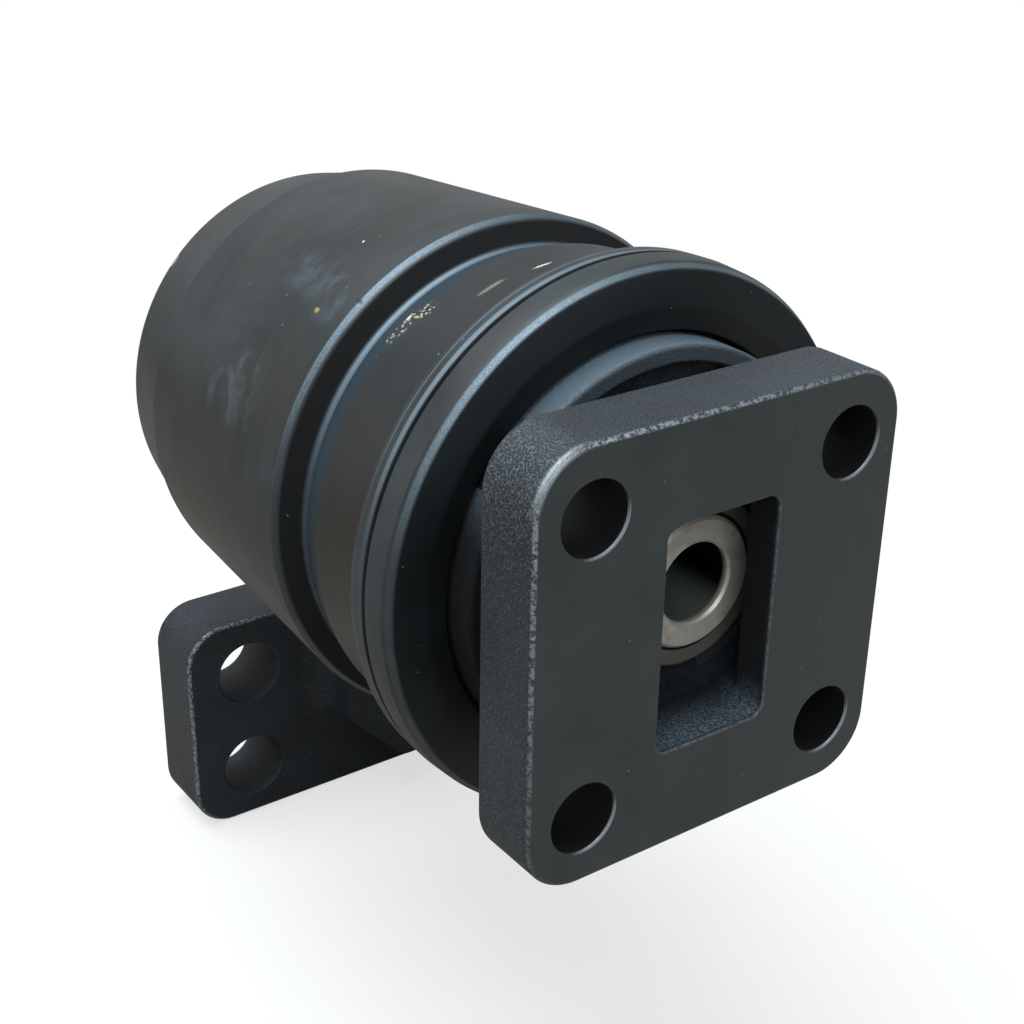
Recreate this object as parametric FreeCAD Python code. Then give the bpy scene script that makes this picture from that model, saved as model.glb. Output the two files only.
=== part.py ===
import FreeCAD, Part
import math
import os

# Carrier roller of a tracked excavator: a heavy turned roller on a fixed shaft, held at the front by a
# square plate bracket with a collar, at the rear by a cranked bracket with a four-hole foot.
# Frame: millimetres, +Z up. The origin is the centre of the four front bolt holes, on the mounting
# face of the front plate. The shaft runs along Y beside it, and the roller lies at positive Y.
# All turned pieces are drawn about x = 0 and moved to the shaft axis when they are saved.

V = FreeCAD.Vector

# Shaft axis, measured along X from the centre of the front bolt holes
shaft_x = 12.5

# Clearances
fit_clearance = 0.05
seat_gap = 0.05
seal_face_gap = 0.04
axial_gap = 1.0
collar_radial_gap = 1.5
thrust_gap = 0.2

# Front plate
plate_w = 128.0
plate_h = 132.0
plate_t = 23.5
plate_corner_r = 18.0
plate_edge_r = 1.6
front_hole_pitch = 90.0
front_hole_r = 11.0
hole_chamfer = 0.8
plate_cx = -shaft_x
plate_cz = 0.0

# Window through the front plate, the round cored pocket behind it and the boss at its floor
window_w = 40.0
window_h = 70.0
window_cz = 0.6
window_corner_r = 4.0
window_edge_r = 0.8
pocket_depth = 18.5
pocket_start_y = plate_t - 12.0
pocket_floor_y = pocket_start_y + pocket_depth
boss_height = 4.7
boss_face_y = pocket_floor_y - boss_height

# Radii built up from the shaft journal: bush, thrust ring, seal, hub, front collar and roller flange
journal_r = 24.0
seat_r = journal_r - 3.3
bush_wall = 4.5
bush_r = journal_r + fit_clearance + bush_wall
thrust_ring_r = journal_r + 5.8
bush_flange_r = thrust_ring_r + 0.6
seal_inner_r = thrust_ring_r + 1.2
seal_wall = 5.5
seal_body_r = seal_inner_r + seal_wall
toric_r = 3.5
toric_mid_r = seal_body_r + seat_gap + toric_r
seal_housing_r = toric_mid_r + toric_r + seat_gap
seal_lip_r = seal_housing_r - 2.1
hub_r = seal_housing_r - 2.6
cup_inner_r = seal_housing_r + 4.4
cup_w = 13.0
collar_rim = 5.5
front_collar_r = cup_inner_r + cup_w + collar_rim
front_recess_r = front_collar_r + collar_radial_gap
boss_r = seat_r + 6.2
pocket_r = boss_r + 5.5

# Roller shell: flange, running band, groove, tread and rear step
flange_wall = 20.2
flange_r = front_recess_r + flange_wall
flange_face_r = flange_r - 3.0
band_r = flange_r - 7.8
band_rear_r = band_r - 0.4
groove_floor_r = band_r - 6.6
tread_front_r = band_r + 4.0
tread_taper = 5.6
tread_rear_r = tread_front_r - tread_taper
rear_step_r = tread_rear_r - 5.2
rear_rim_r = rear_step_r - 3.8
rear_rim_w = 11.4
rear_recess_r = rear_rim_r - rear_rim_w
rear_collar_r = rear_recess_r - collar_radial_gap
oil_chamber_r = bush_r + 4.45
flange_chamfer_w = 4.4
flange_line_y = 11.2
flange_line_w = 1.8
flange_w = 19.5
shoulder_w = 3.0
shoulder_fall_w = 2.0
band_w = 29.0
groove_taper_w = 6.5
groove_w = 6.0
tread_chamfer_w = 2.6
tread_chamfer_h = 1.9
rear_step_w = 15.0

# Positions along the shaft: collar, roller, seals and the rear end as a mirror of the front
collar_stand_y = 18.5
collar_front_y = plate_t + collar_stand_y
collar_cup_depth = 7.0
collar_cup_y = collar_front_y + collar_cup_depth
roller_front_y = collar_front_y + 9.0
roller_length = 200.0
roller_rear_y = roller_front_y + roller_length
mid_sum_y = roller_front_y + roller_rear_y
seal_housing_depth = 2.0 * toric_r + 1.5
seal_length = seal_housing_depth - 1.5
seal_lip_t = 1.3
seal_recess_y = roller_front_y + 7.0
collar_back_y = seal_recess_y - axial_gap
seal_plane_y = seal_recess_y - axial_gap / 2.0
seal_floor_y = collar_back_y - seal_housing_depth
shell_floor_y = seal_recess_y + seal_housing_depth
rear_floor_y = mid_sum_y - seal_floor_y
bush_length = 49.5
bush_end_y = shell_floor_y + bush_length
bush_flange_t = 4.4

# Rear bracket: cranked arm on a foot with four holes
arm_t = 34.8
arm_gap = 8.2
arm_front_y = roller_rear_y + arm_gap
arm_back_y = arm_front_y + arm_t
rear_hub_r = seal_housing_r - 1.6
rear_hub_back_y = arm_back_y + 5.0
arm_left_x = 19.0
arm_w = 66.0
arm_right_x = arm_left_x + arm_w
foot_drop = 123.0
foot_w = 197.6
foot_h = 97.0
foot_t = 31.0
foot_front_y = arm_back_y - 15.0
foot_back_y = foot_front_y + foot_t
foot_cx = arm_left_x + arm_w / 2.0
foot_top_z = -foot_drop
foot_bottom_z = foot_top_z - foot_h
foot_corner_r = 17.0
foot_edge_r = 1.6
arm_bottom_z = foot_bottom_z + 16.0
arm_tip_w = 10.0
arm_slant = (arm_w - arm_tip_w) / 2.0
arm_root_r = 13.5
arm_bend_r = 30.0
rear_hole_r = 14.0
rear_hole_side = 28.2
rear_hole_drop = 26.0
rear_hole_rise = 24.0
rear_hole_pitch_x = foot_w - 2.0 * rear_hole_side
rear_hole_top_z = foot_top_z - rear_hole_drop
rear_hole_pitch_z = foot_h - rear_hole_drop - rear_hole_rise

# Shaft with its bore, oil plug, O-rings and lock pins
shaft_front_y = boss_face_y - 1.6
shaft_rear_y = rear_hub_back_y - 2.0
shaft_bore_r = seat_r - 8.0
shaft_bore_depth = 30.0
shaft_chamfer = 0.8
boss_bore_chamfer = 0.7
plug_head_r = shaft_bore_r - 1.9
plug_head_t = 3.5
plug_washer_t = 1.4
plug_thread_r = plug_head_r - 2.6
plug_thread_depth = 12.5
plug_length = plug_thread_depth - 1.0
hex_across_flats = plug_thread_r
hex_depth = 2.8
oil_way_r = plug_thread_r / 2.0
cross_way_r = 3.0
o_ring_r = 1.75
o_ring_groove_w = 4.2
front_o_ring_y = pocket_floor_y + 3.6
rear_o_ring_y = rear_floor_y + 6.5
pin_r = 4.0
pin_inner_z = shaft_bore_r + 1.1
front_pin_y = seal_floor_y - 5.1
rear_pin_y = shaft_rear_y - 19.0


def outline(points, place):
    """Closed wire from 2-D corners (a, b, radius); a radius above zero rounds the corner."""
    n = len(points)
    ends = []
    for i in range(n):
        a0, b0, _ = points[i - 1]
        a1, b1, r = points[i]
        a2, b2, _ = points[(i + 1) % n]
        if r <= 0.0:
            ends.append(((a1, b1), (a1, b1), None))
            continue
        d0 = math.hypot(a0 - a1, b0 - b1)
        d2 = math.hypot(a2 - a1, b2 - b1)
        u0 = ((a0 - a1) / d0, (b0 - b1) / d0)
        u2 = ((a2 - a1) / d2, (b2 - b1) / d2)
        half = math.acos(max(-1.0, min(1.0, u0[0] * u2[0] + u0[1] * u2[1]))) / 2.0
        cut = r / math.tan(half)
        p = (a1 + u0[0] * cut, b1 + u0[1] * cut)
        q = (a1 + u2[0] * cut, b1 + u2[1] * cut)
        bis = (u0[0] + u2[0], u0[1] + u2[1])
        length = math.hypot(bis[0], bis[1])
        to_mid = r / math.sin(half) - r
        mid = (a1 + bis[0] / length * to_mid, b1 + bis[1] / length * to_mid)
        ends.append((p, q, mid))
    edges = []
    for i in range(n):
        p, q, mid = ends[i]
        if mid is not None:
            edges.append(Part.Arc(place(p), place(mid), place(q)).toShape())
        nxt = ends[(i + 1) % n][0]
        if math.hypot(nxt[0] - q[0], nxt[1] - q[1]) > 1e-7:
            edges.append(Part.makeLine(place(q), place(nxt)))
    return Part.Wire(edges)


def turned(points):
    """Solid turned about the Y axis from corners (radius, y, rounding)."""
    full = [p if len(p) == 3 else (p[0], p[1], 0.0) for p in points]
    wire = outline(full, lambda p: V(p[0], p[1], 0.0))
    return Part.Face(wire).revolve(V(0, 0, 0), V(0, 1, 0), 360.0)


def slab(points, y0, y1):
    """Solid between two Y positions from corners (x, z, rounding)."""
    wire = outline(points, lambda p: V(p[0], y0, p[1]))
    return Part.Face(wire).extrude(V(0, y1 - y0, 0))


def rectangle(cx, cz, w, h, r):
    return [(cx - w / 2, cz - h / 2, r), (cx + w / 2, cz - h / 2, r),
            (cx + w / 2, cz + h / 2, r), (cx - w / 2, cz + h / 2, r)]


def rod(r, y0, y1, x=0.0, z=0.0):
    return Part.makeCylinder(r, y1 - y0, V(x, y0, z), V(0, 1, 0))


def bolt_hole(r, seat_y, free_y, x, z, c):
    """Round hole along Y, sharp at the seat on the machine frame and chamfered at the free face."""
    way = 1.0 if free_y > seat_y else -1.0
    hole = rod(r, min(seat_y, free_y) - 1.0, max(seat_y, free_y) + 1.0, x, z)
    lead = Part.makeCone(r, r + c + 0.5, c + 0.5, V(x, free_y - way * c, z), V(0, way, 0))
    return hole.fuse(lead)


def pin_hole(y, z0, z1):
    """Upright hole for a lock pin between two heights above the shaft axis."""
    return Part.makeCylinder(pin_r + seat_gap, z1 - z0, V(0, y, z0), V(0, 0, 1))


def rear(y):
    """Mirror position of y about the middle of the roller's length."""
    return mid_sum_y - y


def rear_points(points):
    """The same turned section at the rear end of the roller."""
    full = [p if len(p) == 3 else (p[0], p[1], 0.0) for p in points]
    return [(p[0], rear(p[1]), p[2]) for p in full]


def edges_at(shape, test):
    """Edges whose every sampled point passes the test."""
    found = []
    for e in shape.Edges:
        pts = e.discretize(5)
        if all(test(p) for p in pts):
            found.append(e)
    return found


def save(shape, name):
    out = shape.Solids[0]
    out.translate(V(shaft_x, 0, 0))
    out.exportStep("parts/" + name + ".step")


os.makedirs("parts", exist_ok=True)

# Front bracket: plate, hub, collar and pocket in one casting
plate = slab(rectangle(plate_cx, plate_cz, plate_w, plate_h, plate_corner_r), 0.0, plate_t)
rims = edges_at(plate, lambda p: p.y < 0.01 or p.y > plate_t - 0.01)
plate = plate.makeFillet(plate_edge_r, rims)
hub = turned([
    (0.0, plate_t - 4.0),
    (hub_r + 3.8, plate_t - 4.0),
    (hub_r + 3.8, plate_t),
    (hub_r, plate_t, 3.4),
    (hub_r, collar_front_y - 2.0, 3.0),
    (cup_inner_r, collar_front_y + 2.0, 3.0),
    (cup_inner_r, collar_cup_y, 2.0),
    (front_collar_r - collar_rim, collar_cup_y, 2.0),
    (front_collar_r - collar_rim, collar_front_y, 0.8),
    (front_collar_r, collar_front_y, 1.4),
    (front_collar_r, collar_back_y, 0.6),
    (seal_housing_r, collar_back_y, 0.6),
    (seal_housing_r, seal_floor_y, 1.0),
    (0.0, seal_floor_y)])
front_bracket = plate.fuse(hub).removeSplitter()
window = slab(rectangle(plate_cx, window_cz, window_w, window_h, window_corner_r), -1.0, pocket_floor_y)
front_bracket = front_bracket.cut(window)
front_bracket = front_bracket.cut(turned([
    (0.0, pocket_start_y),
    (pocket_r, pocket_start_y, 1.5),
    (pocket_r, pocket_floor_y, 3.0),
    (0.0, pocket_floor_y)]))
front_bracket = front_bracket.fuse(turned([
    (0.0, boss_face_y),
    (boss_r, boss_face_y, 0.8),
    (boss_r + 0.8, pocket_floor_y + 0.5),
    (0.0, pocket_floor_y + 0.5)]))
front_bracket = front_bracket.removeSplitter()
sill = edges_at(front_bracket, lambda p: abs(p.y) < 0.01 and abs(p.x - plate_cx) < window_w / 2 + 0.1
                and abs(p.z - window_cz) < window_h / 2 + 0.1)
front_bracket = front_bracket.makeFillet(window_edge_r, sill)
seat_bore_r = seat_r + fit_clearance
front_bracket = front_bracket.cut(rod(seat_bore_r, boss_face_y - 1.0, seal_floor_y + 5.0))
mouth = Part.makeCone(seat_bore_r + boss_bore_chamfer + 0.2, seat_bore_r, boss_bore_chamfer + 0.2,
                      V(0, boss_face_y - 0.2, 0), V(0, 1, 0))
front_bracket = front_bracket.cut(mouth)
half_pitch = front_hole_pitch / 2.0
for sx in (-half_pitch, half_pitch):
    for sz in (-half_pitch, half_pitch):
        front_bracket = front_bracket.cut(
            bolt_hole(front_hole_r, 0.0, plate_t, plate_cx + sx, plate_cz + sz, hole_chamfer))
front_pin_top = hub_r - 0.8
front_bracket = front_bracket.cut(pin_hole(front_pin_y, seat_r - 2.0, cup_inner_r + 1.0))
save(front_bracket, "front_bracket")

# Rear bracket: foot, cranked arm, hub and collar in one casting
foot = slab(rectangle(foot_cx, (foot_top_z + foot_bottom_z) / 2.0, foot_w, foot_h, foot_corner_r),
            foot_front_y, foot_back_y)
arm = slab([
    (arm_left_x, arm_bottom_z + arm_slant, 8.0),
    (arm_left_x + arm_slant, arm_bottom_z, 5.0),
    (arm_right_x - arm_slant, arm_bottom_z, 5.0),
    (arm_right_x, arm_bottom_z + arm_slant, 8.0),
    (arm_right_x, foot_top_z + 11.0, arm_bend_r),
    (rear_hub_r - 2.0, 11.0, 0.0),
    (-rear_hub_r + 2.0, -11.0, 0.0),
    (arm_left_x, foot_top_z + 21.0, arm_bend_r)], arm_front_y, arm_back_y)
casting = foot.fuse(arm).removeSplitter()
inside = lambda p: (arm_left_x - 0.1 < p.x < arm_right_x + 0.1 and p.z > arm_bottom_z - 0.1
                    and p.z < foot_top_z + 0.1)
root = edges_at(casting, lambda p: abs(p.y - foot_front_y) < 0.01 and inside(p))
root = [e for e in root if abs(e.BoundBox.ZMax - foot_top_z) > 0.01 or e.BoundBox.ZLength > 0.1]
casting = casting.makeFillet(arm_root_r, root)
outer = edges_at(casting, lambda p: (p.y < foot_front_y + 0.01 and p.y > foot_front_y - 0.01
                 or p.y > foot_back_y - 0.01)
                 and (abs(p.x - foot_cx) > foot_w / 2.0 - foot_corner_r - 0.1
                      or p.z < foot_bottom_z + 0.1))
casting = casting.makeFillet(foot_edge_r, outer)
rear_hub = turned([
    (0.0, rear_floor_y),
    (seal_housing_r, rear_floor_y, 1.0),
    (seal_housing_r, rear(collar_back_y), 0.6),
    (rear_collar_r, rear(collar_back_y), 0.6),
    (rear_collar_r, arm_front_y + 4.0, 1.2),
    (rear_hub_r, arm_front_y + 12.0, 4.0),
    (rear_hub_r, rear_hub_back_y, 1.6),
    (0.0, rear_hub_back_y)])
rear_bracket = casting.fuse(rear_hub)
rear_bracket = rear_bracket.cut(turned([
    (0.0, arm_front_y - 3.0),
    (seal_housing_r - 1.0, arm_front_y - 3.0),
    (seal_housing_r - 1.0, rear_floor_y),
    (0.0, rear_floor_y)]))
rear_bracket = rear_bracket.cut(rod(seat_r + fit_clearance, rear_floor_y - 5.0, rear_hub_back_y + 1.0))
for hx in (foot_cx - rear_hole_pitch_x / 2.0, foot_cx + rear_hole_pitch_x / 2.0):
    for hz in (rear_hole_top_z, rear_hole_top_z - rear_hole_pitch_z):
        rear_bracket = rear_bracket.cut(
            bolt_hole(rear_hole_r, foot_back_y, foot_front_y, hx, hz, hole_chamfer))
rear_pin_top = rear_hub_r - 0.8
rear_bracket = rear_bracket.cut(pin_hole(rear_pin_y, seat_r - 2.0, rear_hub_r + 2.0))
rear_bracket = rear_bracket.removeSplitter()
save(rear_bracket, "rear_bracket")

# Roller shell: one turned forging with tread, groove, running band and flange
flange_end_y = roller_front_y + flange_w
band_y = flange_end_y + shoulder_w + shoulder_fall_w
groove_y = band_y + band_w + groove_taper_w
tread_y = groove_y + groove_w + 0.6
line_y = roller_front_y + flange_line_y
shell = turned([
    (front_recess_r, roller_front_y, 0.6),
    (flange_face_r, roller_front_y, 0.8),
    (flange_r - 0.6, roller_front_y + flange_chamfer_w, 0.8),
    (flange_r, line_y, 0.3),
    (flange_r - 1.8, line_y + 0.2, 0.3),
    (flange_r - 1.8, line_y + flange_line_w - 0.2, 0.3),
    (flange_r - 0.2, line_y + flange_line_w, 0.3),
    (flange_r - 0.6, flange_end_y, 1.8),
    (flange_r - 2.8, flange_end_y + shoulder_w, 1.2),
    (band_r, band_y, 3.0),
    (band_rear_r, band_y + band_w, 4.0),
    (groove_floor_r, groove_y, 2.5),
    (groove_floor_r, groove_y + groove_w, 4.0),
    (tread_front_r - tread_chamfer_h, tread_y, 0.5),
    (tread_front_r, tread_y + tread_chamfer_w, 0.8),
    (tread_rear_r, roller_rear_y - rear_step_w - 1.4, 0.6),
    (rear_step_r, roller_rear_y - rear_step_w, 0.8),
    (rear_step_r - 0.4, roller_rear_y - 3.2, 1.0),
    (rear_rim_r, roller_rear_y, 0.8),
    (rear_recess_r, roller_rear_y, 0.6),
    (rear_recess_r, rear(seal_recess_y), 1.0),
    (seal_housing_r, rear(seal_recess_y), 0.6),
    (seal_housing_r, rear(shell_floor_y), 1.0),
    (bush_r, rear(shell_floor_y)),
    (bush_r, rear(bush_end_y) - 2.0),
    (oil_chamber_r, rear(bush_end_y) - 6.0, 2.0),
    (oil_chamber_r, bush_end_y + 6.0, 2.0),
    (bush_r, bush_end_y + 2.0),
    (bush_r, shell_floor_y),
    (seal_housing_r, shell_floor_y, 1.0),
    (seal_housing_r, seal_recess_y, 0.6),
    (front_recess_r, seal_recess_y, 1.0)])
save(shell, "roller_shell")

# Flanged bushes pressed into the two ends of the shell
bush_face_y = shell_floor_y - bush_flange_t
bush = [
    (journal_r + fit_clearance, bush_face_y, 0.5),
    (bush_flange_r, bush_face_y, 0.5),
    (bush_flange_r, shell_floor_y),
    (bush_r, shell_floor_y),
    (bush_r, bush_end_y, 0.8),
    (journal_r + fit_clearance, bush_end_y, 0.5)]
save(turned(bush), "bush_front")
save(turned(rear_points(bush)), "bush_rear")

# Thrust rings between the brackets and the bushes
ring = [
    (journal_r + fit_clearance, seal_floor_y, 0.4),
    (thrust_ring_r, seal_floor_y, 0.4),
    (thrust_ring_r, bush_face_y - thrust_gap, 0.6),
    (journal_r + fit_clearance, bush_face_y - thrust_gap, 0.4)]
save(turned(ring), "thrust_ring_front")
save(turned(rear_points(ring)), "thrust_ring_rear")

# Floating seal rings: one in each housing, face to face
fixed_face_y = seal_plane_y - seal_face_gap / 2.0
fixed_ring = [
    (seal_inner_r, fixed_face_y, 0.2),
    (seal_inner_r, fixed_face_y - seal_length, 0.6),
    (seal_body_r - 1.2, fixed_face_y - seal_length, 0.6),
    (seal_body_r, fixed_face_y - seal_lip_t, 0.8),
    (seal_lip_r, fixed_face_y - seal_lip_t, 0.3),
    (seal_lip_r, fixed_face_y, 0.2)]
running_ring = [(p[0], 2.0 * seal_plane_y - p[1], p[2]) for p in fixed_ring]
save(turned(fixed_ring), "seal_ring_front_fixed")
save(turned(running_ring), "seal_ring_front_running")
save(turned(rear_points(fixed_ring)), "seal_ring_rear_fixed")
save(turned(rear_points(running_ring)), "seal_ring_rear_running")

# Rubber rings that press the seal rings together
toric_y = seal_floor_y + toric_r + 0.4
fixed_toric = Part.makeTorus(toric_mid_r, toric_r, V(0, toric_y, 0), V(0, 1, 0))
running_toric = Part.makeTorus(toric_mid_r, toric_r, V(0, 2.0 * seal_plane_y - toric_y, 0), V(0, 1, 0))
save(fixed_toric, "toric_ring_front_fixed")
save(running_toric, "toric_ring_front_running")
rear_fixed = Part.makeTorus(toric_mid_r, toric_r, V(0, rear(toric_y), 0), V(0, 1, 0))
rear_running = Part.makeTorus(toric_mid_r, toric_r, V(0, rear(2.0 * seal_plane_y - toric_y), 0), V(0, 1, 0))
save(rear_fixed, "toric_ring_rear_fixed")
save(rear_running, "toric_ring_rear_running")

# Shaft with its two seats, oil way, plug bore and pin holes
o_floor_r = seat_r + fit_clearance - 2.0 * o_ring_r - seat_gap
half_groove = o_ring_groove_w / 2.0
bore_floor_y = shaft_front_y + shaft_bore_depth
shaft = turned([
    (shaft_bore_r + shaft_chamfer, shaft_front_y),
    (seat_r - 1.0, shaft_front_y),
    (seat_r, shaft_front_y + 1.0),
    (seat_r, front_o_ring_y - half_groove),
    (o_floor_r, front_o_ring_y - half_groove, 0.3),
    (o_floor_r, front_o_ring_y + half_groove, 0.3),
    (seat_r, front_o_ring_y + half_groove),
    (seat_r, seal_floor_y),
    (journal_r - 0.4, seal_floor_y),
    (journal_r, seal_floor_y + 0.6),
    (journal_r, rear_floor_y - 0.6),
    (journal_r - 0.4, rear_floor_y),
    (seat_r, rear_floor_y),
    (seat_r, rear_o_ring_y - half_groove),
    (o_floor_r, rear_o_ring_y - half_groove, 0.3),
    (o_floor_r, rear_o_ring_y + half_groove, 0.3),
    (seat_r, rear_o_ring_y + half_groove),
    (seat_r, shaft_rear_y - 2.0),
    (seat_r - 2.0, shaft_rear_y),
    (0.0, shaft_rear_y),
    (0.0, bore_floor_y),
    (shaft_bore_r, bore_floor_y, 0.8),
    (shaft_bore_r, shaft_front_y + shaft_chamfer)])
plug_bore_end_y = bore_floor_y + plug_thread_depth
middle_y = mid_sum_y / 2.0
shaft = shaft.cut(rod(plug_thread_r, bore_floor_y - 1.0, plug_bore_end_y))
shaft = shaft.cut(rod(oil_way_r, plug_bore_end_y - 1.0, middle_y + cross_way_r + 1.0))
shaft = shaft.cut(Part.makeCylinder(cross_way_r, journal_r + 5.0, V(0, middle_y, 0), V(0, 0, -1)))
for pin_y in (front_pin_y, rear_pin_y):
    shaft = shaft.cut(pin_hole(pin_y, pin_inner_z, seat_r + 2.0))
save(shaft, "shaft")

# Lock pins that stop the shaft from turning in the brackets
for pin_y, top, name in ((front_pin_y, front_pin_top, "lock_pin_front"), (rear_pin_y, rear_pin_top, "lock_pin_rear")):
    low = pin_inner_z + 0.2
    pin = Part.makeCylinder(pin_r, top - low, V(0, pin_y, low), V(0, 0, 1))
    pin = pin.makeChamfer(0.6, edges_at(pin, lambda p: abs(p.z - top) < 0.01 or abs(p.z - low) < 0.01))
    save(pin, name)

# O-rings in the grooves of the shaft seats
o_mid_r = o_floor_r + seat_gap / 2.0 + o_ring_r
save(Part.makeTorus(o_mid_r, o_ring_r, V(0, front_o_ring_y, 0), V(0, 1, 0)), "o_ring_front")
save(Part.makeTorus(o_mid_r, o_ring_r, V(0, rear_o_ring_y, 0), V(0, 1, 0)), "o_ring_rear")

# Oil plug with hexagon socket and its washer, at the floor of the shaft bore
washer_y = bore_floor_y - plug_washer_t
head_y = washer_y - plug_head_t
plug = turned([
    (0.0, head_y),
    (plug_head_r, head_y, 0.8),
    (plug_head_r, washer_y, 0.3),
    (plug_thread_r - seat_gap, washer_y),
    (plug_thread_r - seat_gap, washer_y + plug_length, 1.0),
    (0.0, washer_y + plug_length)])
hex_r = hex_across_flats / math.sqrt(3.0)
corners = [(hex_r * math.cos(math.radians(60 * i)), hex_r * math.sin(math.radians(60 * i)), 0.0) for i in range(6)]
plug = plug.cut(slab(corners, head_y - 1.0, head_y + hex_depth))
save(plug, "oil_plug")
washer = turned([
    (plug_thread_r + 0.1, washer_y),
    (plug_head_r + 0.8, washer_y, 0.3),
    (plug_head_r + 0.8, bore_floor_y, 0.3),
    (plug_thread_r + 0.1, bore_floor_y)])
save(washer, "plug_washer")
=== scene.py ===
import math

import bpy
from mathutils import Matrix, Vector


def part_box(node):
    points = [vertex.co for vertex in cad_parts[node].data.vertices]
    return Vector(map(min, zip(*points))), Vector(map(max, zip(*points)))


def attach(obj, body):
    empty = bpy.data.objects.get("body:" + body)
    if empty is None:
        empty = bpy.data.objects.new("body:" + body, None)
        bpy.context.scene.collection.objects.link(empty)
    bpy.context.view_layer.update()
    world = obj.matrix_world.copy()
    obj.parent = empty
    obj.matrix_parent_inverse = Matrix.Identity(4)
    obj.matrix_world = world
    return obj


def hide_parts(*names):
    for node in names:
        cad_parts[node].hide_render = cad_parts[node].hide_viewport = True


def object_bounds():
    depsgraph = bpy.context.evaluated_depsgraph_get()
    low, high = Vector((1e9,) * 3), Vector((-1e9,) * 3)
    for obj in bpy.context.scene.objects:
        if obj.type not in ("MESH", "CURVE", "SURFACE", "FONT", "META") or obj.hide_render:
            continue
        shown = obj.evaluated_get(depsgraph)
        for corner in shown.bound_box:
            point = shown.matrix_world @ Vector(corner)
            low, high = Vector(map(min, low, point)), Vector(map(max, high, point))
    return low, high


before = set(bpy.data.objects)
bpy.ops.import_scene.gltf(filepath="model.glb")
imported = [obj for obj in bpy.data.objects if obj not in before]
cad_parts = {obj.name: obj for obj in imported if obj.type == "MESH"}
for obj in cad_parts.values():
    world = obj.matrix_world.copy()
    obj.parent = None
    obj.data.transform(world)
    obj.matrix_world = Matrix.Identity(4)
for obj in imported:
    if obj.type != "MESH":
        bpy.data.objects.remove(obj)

bl_info = {
    "name": "Carrier roller dressing",
    "version": (1, 0, 0),
    "blender": (4, 5, 0),
    "location": "3D View > Sidebar > Roller",
    "description": "Paint, steel, bronze and rubber for a tracked excavator's carrier roller, with its stage",
    "category": "Object",
}

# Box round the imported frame, in metres
CAD_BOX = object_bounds()


def span(node):
    """Lowest and highest corner of a node in millimetres."""
    low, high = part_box(node)
    return [1000.0 * v for v in low], [1000.0 * v for v in high]


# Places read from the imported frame. From here to the stage, all lengths are in millimetres
SHELL_LOW, SHELL_HIGH = span("roller_shell")
AXIS_X = (SHELL_LOW[0] + SHELL_HIGH[0]) / 2.0
FRONT_Y = SHELL_LOW[1]
SHAFT_FRONT_Y = span("shaft")[0][1]
FOOT_SEAT_Y = span("rear_bracket")[1][1]

# Section of the roller shell: radius, distance from its front end and rounding of each corner. It runs over
# the flange, the cut, the running band, the groove, the tread and the rear step, and back through the bore,
# where its corners follow the solid
SHELL_SECTION = (
    (68.0, 0.0, 0.6), (86.0, 0.0, 0.8), (87.7, 3.2, 0.8),
    (88.15, 11.2, 0.3), (86.4, 11.4, 0.3), (86.4, 12.8, 0.3), (88.05, 13.0, 0.3),
    (87.7, 19.5, 1.8), (85.6, 22.4, 1.2), (81.4, 24.6, 3.0),
    (81.4, 50.0, 16.0), (77.0, 63.6, 2.4), (84.2, 66.8, 0.6), (86.0, 69.6, 1.2),
    (80.2, 165.0, 0.6), (79.0, 166.2, 0.8), (72.4, 197.0, 1.2), (69.8, 200.0, 0.8),
    (58.4, 200.0, 0.6), (58.4, 193.0, 1.0), (43.6, 193.0, 0.6), (43.6, 184.5, 1.0), (28.55, 184.5, 0.0),
    (28.55, 133.0, 0.0), (33.0, 129.0, 0.0), (33.0, 71.0, 0.0), (28.55, 67.0, 0.0),
    (28.55, 15.5, 0.0), (43.6, 15.5, 1.0), (43.6, 7.0, 0.6), (68.0, 7.0, 1.0))

# Radius that places round the shell are measured on
SHELL_NOMINAL_R = 82.0

# Edges and lines round the shell, by their distance from its front end
FACE_EDGE = 1.2
CUT = 12.1
CUT_LIP = 14.2
TOOL_LINES = (18.0, 20.6)
FILLET = 62.5
TREAD_EDGE = 68.9
REAR_EDGE = 165.6

# Stretches of the shell, by the same distance: where each starts, is full, begins to fade and ends. The
# tread's finish only starts and is full, and goes on to the rear
BAND = (23.0, 27.0, 45.0, 53.0)
SLOPE = (47.0, 56.0, 63.8, 64.4)
WALL = (63.6, 64.4, 66.9, 67.6)
TREAD = (69.0, 73.0)

# Marks on the shell: distance from its front end, degrees from its top, half length along the shaft,
# half width round the shell and raggedness
SMUDGES = ((101.0, -36.0, 20.0, 11.0, 0.9), (83.0, -42.0, 9.0, 9.0, 0.8), (109.0, -66.0, 24.0, 16.0, 1.0),
           (135.0, 60.0, 26.0, 20.0, 1.0), (99.0, 150.0, 28.0, 22.0, 1.0))
FLAKES = (52.4, -37.0, 4.2, 9.5, 1.5)
FLAKES_ABOVE = (49.4, -32.0, 3.4, 5.2, 1.4)
BLOB = (53.6, -34.8, 1.3, 1.5, 0.7)
FAINT_RUB = (37.6, -20.0, 1.1, 6.5, 1.6)
CREAM_DAB = (35.8, -7.6, 0.6, 4.2, 0.9)
OCHRE_FLECK = (85.7, -43.5, 1.6, 1.1, 1.2)
WHITE_FLECK = (96.8, -24.5, 0.55, 0.55, 0.2)
EDGE_CHIP = (70.4, -38.0, 2.2, 1.1, 0.5)
REAR_CHIP = (197.0, -48.0, 3.0, 3.4, 1.0)

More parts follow.
